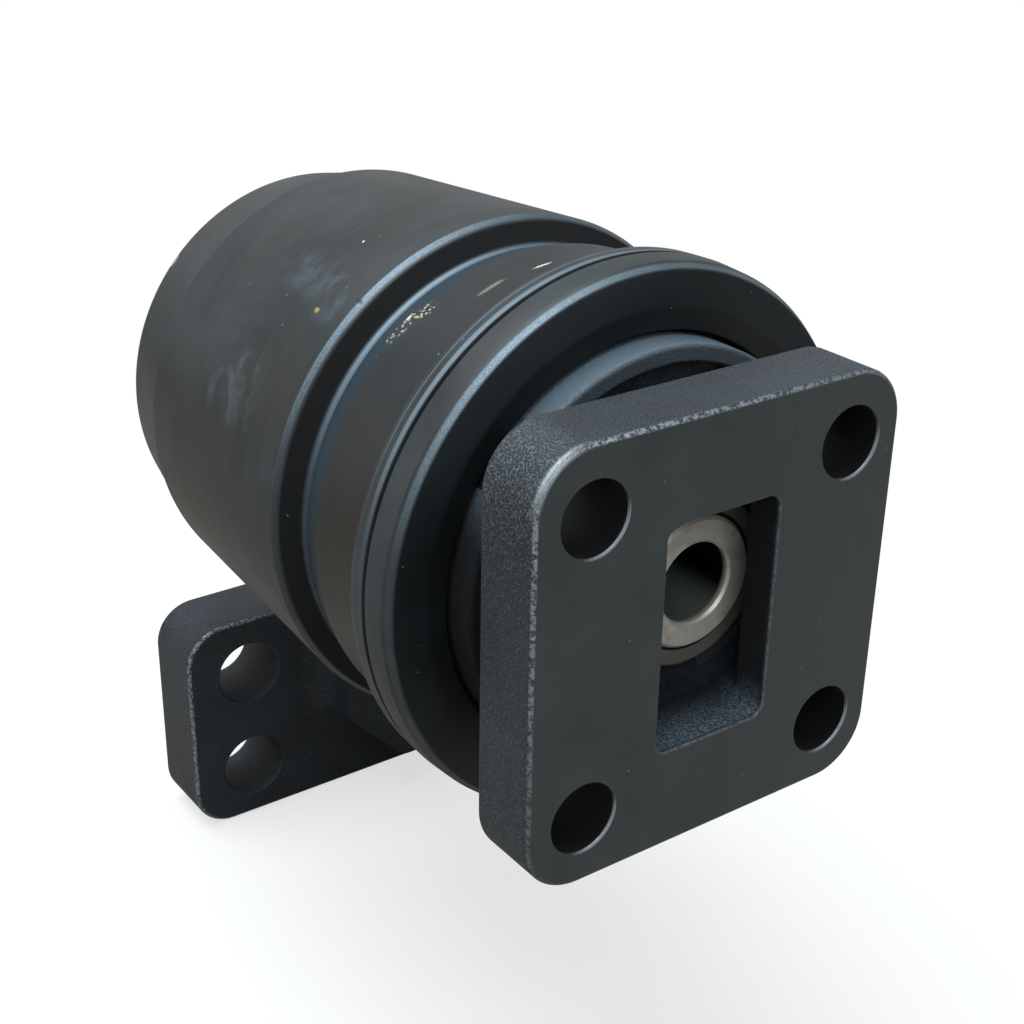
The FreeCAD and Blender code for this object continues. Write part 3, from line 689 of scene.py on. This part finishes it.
def plate_masks(tree, at, lumps):
    """Where the front plate's finishes, painted highlights and painted shade lie, each as a mask."""
    rim = rim_depth(tree, at, (0.0, 0.0), PLATE_HALF, PLATE_CORNER)
    found = {"edge": both(tree, ease(tree, rim, 1.5, 0.9), ease(tree, at["y"], 1.3, 0.6))}

    # Painted highlight on the rounded upper left corner; rubbed in a thin line along the top and in broken
    # specks on the left
    corner = both(tree, ease(tree, at["x"], -45.0, -57.0), ease(tree, at["z"], 47.0, 60.0))
    rounding = both(tree, ease(tree, at["y"], 2.6, 1.0), ease(tree, rim, 2.0, 1.2))
    found["corner"] = both(tree, corner, rounding)
    top = both(tree, ease(tree, at["z"], 50.0, 64.0), ease(tree, at["x"], 60.0, -64.0, 0.4, 0.85))
    left = both(tree, ease(tree, at["x"], -50.0, -62.0), ease(tree, at["z"], -70.0, 56.0, 0.22, 0.8))
    found["lean"] = either(tree, [top, left, 0.14])
    # Painted glints on the cast lumps are strongest at the upper left
    found["shine"] = both(tree, ease(tree, at["x"], -40.0, -60.0), ease(tree, at["z"], 20.0, 56.0))

    # Window: a thin bright sill, rubbed and with painted highlight, painted shade on the walls, and painted
    # light on the pebbled floor
    window = rim_depth(tree, at, WINDOW_CENTRE, WINDOW_HALF, WINDOW_CORNER)
    window = add(tree, "ShaderNodeMath", [window], operation="ABSOLUTE")
    sill = both(tree, ease(tree, window, 0.8, 0.3), ease(tree, at["y"], 0.9, 0.4))
    found["sill"] = both(tree, sill, 0.22)
    walls = both(tree, stretch(tree, at["y"], 0.8, 2.0, 20.0, 24.0), ease(tree, window, 14.0, 10.0))
    floor = both(tree, ease(tree, at["z"], -22.0, -35.0), ease(tree, at["y"], 22.0, 3.0))
    found["walls"] = walls
    found["pebbles"] = both(tree, both(tree, walls, floor), ease(tree, lumps, 0.4, 0.64, 0.25, 1.0))

    # Painted highlight on the lip of each bolt hole, on its lower right where it looks up at the lamp
    across = []
    for axis in ("x", "z"):
        side = add(tree, "ShaderNodeMath", [at[axis]], operation="SIGN")
        feeds = [side, -PLATE_HOLE_OFF, at[axis]]
        across.append(add(tree, "ShaderNodeMath", feeds, operation="MULTIPLY_ADD"))
    out = add(tree, "ShaderNodeCombineXYZ", [across[0], across[1], 0.0])
    out = add(tree, "ShaderNodeVectorMath", [out], operation="LENGTH").outputs["Value"]
    slope = add(tree, "ShaderNodeMath", [across[0], across[1]], operation="SUBTRACT")
    lip = both(tree, ring(tree, out, PLATE_HOLE_R, 0.6), ease(tree, at["y"], 1.1, 0.5))
    found["lip"] = both(tree, lip, ease(tree, slope, 6.0, 15.0))
    # Painted shade, near black, inside each bolt hole
    bore = ease(tree, out, PLATE_HOLE_R + 0.12, PLATE_HOLE_R + 0.02)
    found["inside"] = both(tree, bore, ease(tree, at["y"], 0.4, 1.4))

    # Boss round the shaft, with a painted shadow line between it and the shaft, and the collar, whose paint
    # shows only at its upper left as painted light, with painted shade on its lower left
    beside = add(tree, "ShaderNodeMath", [at["x"], AXIS_X], operation="SUBTRACT")
    spread = add(tree, "ShaderNodeCombineXYZ", [beside, at["z"], 0.0])
    spread = add(tree, "ShaderNodeVectorMath", [spread], operation="LENGTH").outputs["Value"]
    angle = add(tree, "ShaderNodeMath", [beside, at["z"]], operation="ARCTAN2")
    boss = both(tree, ring(tree, at["y"], BOSS_Y, 0.4), ease(tree, spread, BOSS_R + 0.5, BOSS_R - 0.1))
    found["boss"] = boss
    found["gap"] = both(tree, ring(tree, spread, SHAFT_SEAT_R + 0.5, 0.9), boss)
    found["face"] = either(tree, [ease(tree, at["y"], 1.1, 0.3), boss])
    collar = ease(tree, spread, CUP_OUTER_R - 0.4, CUP_OUTER_R + 0.2)
    collar = both(tree, collar, ease(tree, at["y"], 38.0, 40.0))
    found["shaded"] = both(tree, collar, ease(tree, angle, math.radians(-58.0), math.radians(-76.0)))
    lit = ease(tree, angle, math.radians(-74.0), math.radians(-52.0), 0.05, 1.0)
    found["collar"] = both(tree, both(tree, collar, ease(tree, at["y"], 42.3, 43.2, 0.55, 1.0)), lit)
    return found


def foot_masks(tree, at):
    """Where the rear foot's finishes lie, each as a mask. It has none of the front plate's special places."""
    found = dict.fromkeys(("corner", "shine", "sill", "walls", "pebbles", "lip", "inside", "boss", "gap",
                           "shaded", "collar"), 0.0)
    found["face"] = ease(tree, at["y"], FOOT_SEAT_Y - 1.2, FOOT_SEAT_Y - 0.2)
    rim = rim_depth(tree, at, FOOT_CENTRE, FOOT_HALF, FOOT_CORNER)
    behind = add(tree, "ShaderNodeMath", [at["y"], FOOT_FRONT_Y], operation="SUBTRACT")
    edge = both(tree, ease(tree, rim, 1.7, 1.0), stretch(tree, behind, -0.6, -0.2, 0.9, 1.5))
    found["edge"] = both(tree, edge, ease(tree, at["z"], -118.0, -124.0))
    found["lean"] = ease(tree, at["x"], 60.0, -30.0, 0.1, 0.6)
    return found


def painted_casting(settings, name, front):
    """Sand-cast steel under satin black paint, of the front plate or of the rear foot."""
    # Small rounded lumps with painted glints on the sides, a flat milled seat face with dust on it, rims
    # rubbed to a pale broken line, and on the front plate painted highlights, painted light and painted shade
    finish, tree = new_finish(name)
    at = places(tree)
    grain = settings.grain * 1000.0
    lumps = cloud(tree, at["point"], grain, 1.0)
    swell = cloud(tree, at["point"], grain * 3.0, 1.0)
    mottle = cloud(tree, at["point"], 24.0, 4.0, 0.4)
    grit = cloud(tree, at["point"], 0.7, 2.0)
    fine = ease(tree, cloud(tree, at["point"], 0.4, 2.0), 0.4, 0.6)
    on = plate_masks(tree, at, lumps) if front else foot_masks(tree, at)

    broken = ease(tree, cloud(tree, at["point"], 1.2, 4.0, 0.3, 0.65), 0.58, 0.44)
    broken = both(tree, broken, ease(tree, fine, 0.0, 1.0, 0.55, 1.0))
    rims = both(tree, both(tree, on["edge"], broken), on["lean"])
    corner = both(tree, on["corner"], ease(tree, fine, 0.0, 1.0, 0.5, 0.85))
    worn_and_highlight = either(tree, [rims, both(tree, on["sill"], broken), on["lip"], corner])

    # Cast sides with painted glints, then the window and collar with painted shade and light, the seat face
    # with painted light, the boss, the painted shadow line, dust, wear with painted highlights, and painted
    # shade in the holes
    colour = tint(tree, ease(tree, mottle, 0.35, 0.7), settings.paint, linear("#222A2F"))
    # The collar's grey-blue paint, shown only at its upper left, is partly painted light
    colour = tint(tree, on["collar"], colour, settings.collar)
    # Painted glints: the peaks of the cast lumps are paler, most at the upper left
    glinting_peaks = both(tree, ease(tree, lumps, 0.46, 0.7), ease(tree, on["shine"], 0.0, 1.0, 0.34, 0.8))
    colour = tint(tree, glinting_peaks, colour, linear("#5A666F"))
    # Painted shade, near black, on the window's walls and the collar's lower left
    dark = either(tree, [both(tree, on["walls"], 0.85), both(tree, on["shaded"], 0.9)])
    colour = tint(tree, dark, colour, linear("#080C10"))
    # Painted light, a pale blue-grey, on the pebbles of the window's floor
    colour = tint(tree, both(tree, on["pebbles"], 0.5), colour, linear("#8299A8"))
    # Seat face in mottled tones, paler towards the right as painted light
    pale = either(tree, [ease(tree, mottle, 0.3, 0.75, 0.0, 0.5),
                         ease(tree, at["x"], -30.0, 60.0, 0.0, 0.6)])
    flat = tint(tree, pale, settings.face, linear("#4A5051"))
    colour = tint(tree, on["face"], colour, flat)
    # Boss face: machined grey, made paler as painted light in its recess
    colour = tint(tree, both(tree, on["boss"], 0.85), colour, linear("#6E6E68"))
    # Painted shadow line, near black, between the boss and the shaft
    colour = tint(tree, on["gap"], colour, linear("#030404"))
    specks = dust(tree, at["point"], 6.5, 0.34, 0.5)
    specks = both(tree, specks, ease(tree, on["face"], 0.0, 1.0, 0.25, 0.9))
    colour = tint(tree, specks, colour, linear("#8D9294"))
    # Rubbed rims and painted highlights in one pale grey
    colour = tint(tree, worn_and_highlight, colour, settings.bare_and_highlight)
    # Painted shade, near black, inside the bolt holes
    colour = tint(tree, on["inside"], colour, linear("#040506"))

    base = settings.roughness - 0.06
    sheen = add(tree, "ShaderNodeMath", [mottle, 0.12, base], operation="MULTIPLY_ADD")
    matt = either(tree, [on["inside"], on["walls"], on["shaded"]])
    for mask, change in ((worn_and_highlight, -0.12), (matt, 0.4)):
        sheen = add(tree, "ShaderNodeMath", [mask, change, sheen], operation="MULTIPLY_ADD")
    cast = add(tree, "ShaderNodeMath", [swell, 0.5, lumps], operation="MULTIPLY_ADD")
    cast = add(tree, "ShaderNodeMath", [fine, 0.12, cast], operation="MULTIPLY_ADD")
    milled = either(tree, [on["face"], on["inside"]])
    relief = add(tree, "ShaderNodeMix", {0: milled, 2: cast, 3: both(tree, grit, 0.03)}, data_type="FLOAT")
    surface(tree, {"Base Color": colour, "Roughness": sheen, "Metallic": both(tree, worn_and_highlight, 0.4),
                   "Specular IOR Level": 0.3}, relief, settings.relief * 1000.0)
    return finish


class ROLLER_OT_paint_brackets(bpy.types.Operator):
    """Paints the two castings: rough cast sides, smooth seat faces and rubbed rims, with painted highlights
    and painted shade
    """
    bl_idname = "roller.paint_brackets"
    bl_label = "Brackets"

    def execute(self, context):
        settings = context.scene.roller_casting
        dress(painted_casting(settings, "painted plate casting", True), ["front_bracket"])
        dress(painted_casting(settings, "painted foot casting", False), ["rear_bracket"])
        return {"FINISHED"}


def turned_steel(metals):
    """Turned medium-carbon steel of the shaft, lightly oiled."""
    # Fine rings on the end face, a warm grey with faint stains, and a smooth bore with painted shade, near
    # black, and painted light paler low down. The same painted shade covers the middle of the solid rear end
    # face
    finish, tree = new_finish("turned oiled steel")
    at = turned_places(tree)
    marks = lathe_marks(tree, at, 0.45, 0.4)
    stain = ease(tree, cloud(tree, at["point"], 7.0, 4.0, 0.5), 0.45, 0.75, 0.0, 0.45)
    colour = tint(tree, stain, metals.steel, linear("#7C7365"))
    colour = tint(tree, both(tree, marks, 0.3), colour, linear("#C9C6BD"))
    # Painted shade in the bore and on the middle of the rear end face, with painted light low down
    deep = ease(tree, at["y"], SHAFT_FRONT_Y + 1.0, SHAFT_FRONT_Y + 3.0)
    bore = both(tree, ease(tree, at["out"], SHAFT_BORE_R + 0.5, SHAFT_BORE_R + 0.1), deep)
    low = ease(tree, at["z"], -3.0, -12.0, 0.0, 0.9)
    colour = tint(tree, bore, colour, tint(tree, low, linear("#040606"), linear("#6E7A75")))
    sheen = add(tree, "ShaderNodeMath", [stain, 0.3, 0.42], operation="MULTIPLY_ADD")
    relief = both(tree, marks, ease(tree, bore, 1.0, 0.0))
    surface(tree, {"Base Color": colour, "Roughness": sheen, "Metallic": 0.35, "Specular IOR Level": 0.15},
            relief, 0.02)
    return finish


def ground_steel(metals):
    """Ground steel of the thrust rings and lock pins."""
    # Finer and brighter than turning, in short scratches round the piece
    finish, tree = new_finish("ground steel")
    at = turned_places(tree)
    marks = lathe_marks(tree, at, 0.2, 0.2)
    haze = cloud(tree, at["point"], 5.0, 3.0)
    colour = tint(tree, both(tree, haze, 0.4), metals.steel, linear("#8E8C87"))
    sheen = add(tree, "ShaderNodeMath", [haze, 0.15, 0.2], operation="MULTIPLY_ADD")
    surface(tree, {"Base Color": colour, "Roughness": sheen, "Metallic": 1.0}, marks, 0.01)
    return finish


class ROLLER_OT_finish_steel(bpy.types.Operator):
    """Turned and ground steel of the shaft, the thrust rings and the lock pins"""
    bl_idname = "roller.finish_steel"
    bl_label = "Shaft, thrust rings and pins"

    def execute(self, context):
        metals = context.scene.roller_metals
        dress(turned_steel(metals), ["shaft"])
        dress(ground_steel(metals), ["thrust_ring_front", "thrust_ring_rear",
                                     "lock_pin_front", "lock_pin_rear"])
        return {"FINISHED"}


def bearing_bronze(metals):
    """Turned bearing bronze of the bushes, with an oil film."""
    # Golden brown, darker where the oil has stayed
    finish, tree = new_finish("turned bearing bronze")
    at = turned_places(tree)
    marks = lathe_marks(tree, at, 0.4, 0.3)
    oil = ease(tree, cloud(tree, at["point"], 9.0, 4.0, 0.6), 0.4, 0.7)
    colour = tint(tree, both(tree, oil, 0.6), metals.bronze, linear("#7A5529"))
    sheen = add(tree, "ShaderNodeMath", [oil, -0.12, 0.36], operation="MULTIPLY_ADD")
    surface(tree, {"Base Color": colour, "Roughness": sheen, "Metallic": 1.0}, marks, 0.015)
    return finish


class ROLLER_OT_finish_bushes(bpy.types.Operator):
    """Turned bearing bronze of the two bushes"""
    bl_idname = "roller.finish_bushes"
    bl_label = "Bushes"

    def execute(self, context):
        dress(bearing_bronze(context.scene.roller_metals), ["bush_front", "bush_rear"])
        return {"FINISHED"}


def seal_iron(metals):
    """Hard cast iron of the seal rings, lapped on its running face."""
    # Dark grey with a fine silvery sheen and tiny pores
    finish, tree = new_finish("lapped seal iron")
    at = turned_places(tree)
    marks = lathe_marks(tree, at, 0.3, 0.2)
    pores = dust(tree, at["point"], 1.6, 0.16, 0.5)
    haze = cloud(tree, at["point"], 6.0, 3.0)
    colour = tint(tree, both(tree, haze, 0.5), metals.iron, linear("#5D5F62"))
    colour = tint(tree, pores, colour, linear("#2A2B2D"))
    relief = add(tree, "ShaderNodeMath", [pores, -1.0, both(tree, marks, 0.4)], operation="MULTIPLY_ADD")
    surface(tree, {"Base Color": colour, "Roughness": 0.32, "Metallic": 1.0}, relief, 0.015)
    return finish


def nitrile_rubber():
    """Moulded nitrile rubber of the toric rings and O-rings."""
    # Matt near-black with a dull bloom
    finish, tree = new_finish("moulded nitrile rubber")
    at = places(tree, (AXIS_X, 0.0, 0.0))
    bloom = ease(tree, cloud(tree, at["point"], 5.0, 4.0, 0.5), 0.4, 0.75)
    skin = cloud(tree, at["point"], 0.5, 2.0)
    colour = tint(tree, both(tree, bloom, 0.5), linear("#17181A"), linear("#3A3B3C"))
    sheen = add(tree, "ShaderNodeMath", [bloom, 0.15, 0.6], operation="MULTIPLY_ADD")
    surface(tree, {"Base Color": colour, "Roughness": sheen}, skin, 0.02)
    return finish


class ROLLER_OT_finish_seals(bpy.types.Operator):
    """Lapped iron seal rings with their rubber rings, and the O-rings"""
    bl_idname = "roller.finish_seals"
    bl_label = "Seals"

    def execute(self, context):
        ends = [(end, side) for end in ("front", "rear") for side in ("fixed", "running")]
        dress(seal_iron(context.scene.roller_metals), [f"seal_ring_{end}_{side}" for end, side in ends])
        torics = [f"toric_ring_{end}_{side}" for end, side in ends]
        dress(nitrile_rubber(), torics + ["o_ring_front", "o_ring_rear"])
        return {"FINISHED"}


def blacked_steel(metals):
    """Heat-blacked steel of the oil plug."""
    # Almost black, with an oily half sheen and cloudy paler places
    finish, tree = new_finish("blacked steel")
    at = turned_places(tree)
    patches = cloud(tree, at["point"], 3.0, 4.0, 0.4)
    colour = tint(tree, ease(tree, patches, 0.4, 0.7, 0.0, 0.6), metals.blacked, linear("#55565B"))
    sheen = add(tree, "ShaderNodeMath", [patches, 0.2, 0.3], operation="MULTIPLY_ADD")
    marks = lathe_marks(tree, at, 0.3, 0.2)
    surface(tree, {"Base Color": colour, "Roughness": sheen, "Metallic": 0.9}, marks, 0.01)
    return finish


def soft_aluminium(metals):
    """Annealed aluminium of the plug's washer: pale, dull and slightly uneven."""
    finish, tree = new_finish("annealed aluminium")
    at = places(tree, (AXIS_X, 0.0, 0.0))
    haze = cloud(tree, at["point"], 2.0, 3.0)
    colour = tint(tree, both(tree, haze, 0.4), metals.washer, linear("#96979A"))
    sheen = add(tree, "ShaderNodeMath", [haze, 0.2, 0.35], operation="MULTIPLY_ADD")
    surface(tree, {"Base Color": colour, "Roughness": sheen, "Metallic": 1.0}, haze, 0.01)
    return finish


class ROLLER_OT_finish_plug(bpy.types.Operator):
    """Blacked oil plug and its soft washer"""
    bl_idname = "roller.finish_plug"
    bl_label = "Oil plug"

    def execute(self, context):
        metals = context.scene.roller_metals
        dress(blacked_steel(metals), ["oil_plug"])
        dress(soft_aluminium(metals), ["plug_washer"])
        return {"FINISHED"}


class VIEW3D_PT_carrier_roller(bpy.types.Panel):
    """Finishes of the carrier roller, piece by piece"""
    bl_label = "Carrier roller"
    bl_space_type = "VIEW_3D"
    bl_region_type = "UI"
    bl_category = "Roller"

    def draw(self, context):
        scene = context.scene
        for settings in (scene.roller_paint, scene.roller_casting, scene.roller_metals, scene.roller_stage):
            box = self.layout.box()
            for name in settings.bl_rna.properties.keys():
                if name not in ("rna_type", "name"):
                    box.prop(settings, name)
        for step in STEPS:
            self.layout.operator(step.bl_idname)


# Settings by their names on the scene, and the steps in the order they run
GROUPS = (("roller_paint", RollerPaint), ("roller_casting", CastingPaint), ("roller_metals", BareMetals),
          ("roller_stage", StageSettings))
STEPS = (ROLLER_OT_stage, ROLLER_OT_paint_shell, ROLLER_OT_paint_brackets, ROLLER_OT_finish_steel,
         ROLLER_OT_finish_bushes, ROLLER_OT_finish_seals, ROLLER_OT_finish_plug)


def register():
    for name, group in GROUPS:
        bpy.utils.register_class(group)
        setattr(bpy.types.Scene, name, bpy.props.PointerProperty(type=group))
    for step in STEPS:
        bpy.utils.register_class(step)
    bpy.utils.register_class(VIEW3D_PT_carrier_roller)


def unregister():
    bpy.utils.unregister_class(VIEW3D_PT_carrier_roller)
    for step in reversed(STEPS):
        bpy.utils.unregister_class(step)
    for name, group in reversed(GROUPS):
        delattr(bpy.types.Scene, name)
        bpy.utils.unregister_class(group)


def main():
    register()
    bpy.ops.roller.stage()
    bpy.ops.roller.paint_shell()
    bpy.ops.roller.paint_brackets()
    bpy.ops.roller.finish_steel()
    bpy.ops.roller.finish_bushes()
    bpy.ops.roller.finish_seals()
    bpy.ops.roller.finish_plug()


if __name__ == "__main__":
    main()
